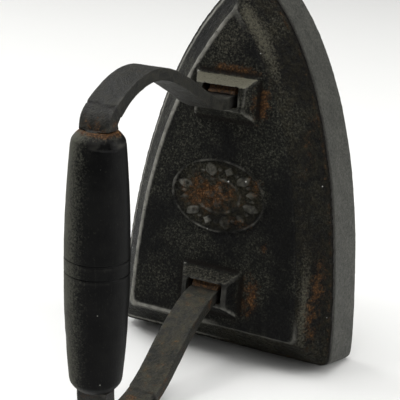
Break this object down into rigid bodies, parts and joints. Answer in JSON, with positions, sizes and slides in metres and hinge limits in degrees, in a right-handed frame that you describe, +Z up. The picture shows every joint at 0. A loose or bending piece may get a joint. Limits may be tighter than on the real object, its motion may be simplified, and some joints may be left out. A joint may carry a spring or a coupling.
{
  "type": "solid cast iron flat iron",
  "caption": "Heavy cast iron flat iron standing on its heel, with cast sockets, a looped forged handle and a black turned wooden grip",
  "frame": {"origin": "centre of the whole object's bounding box, on the floor it stands on", "axes": "+Z up from the heel toward the toe end, -Y is the handle side, +X is the iron's right-hand wall"},
  "size_m": [0.1084, 0.1518, 0.1669],
  "materials": {
    "casting": "aged dark casting skin, satin, rust freckles",
    "forged_bar": "forged, dark oxide with rust in the hollows",
    "black_wood": "black painted turned wood, semi-gloss, worn",
    "wedge_iron": "rusted iron packing wedge"
  },
  "bodies": {
    "iron": {"body_casting": "casting", "handle_bar": "forged_bar", "front_wedge": "wedge_iron", "rear_wedge": "wedge_iron"},
    "grip": {"grip": "black_wood"}
  },
  "joints": [
    {"name": "grip_turn", "type": "hinge", "parent": "iron", "child": "grip", "pos_m": [0, -0.06322, 0.07345], "axis": [0, 0.0316, 0.9995], "continuous": true}
  ]
}
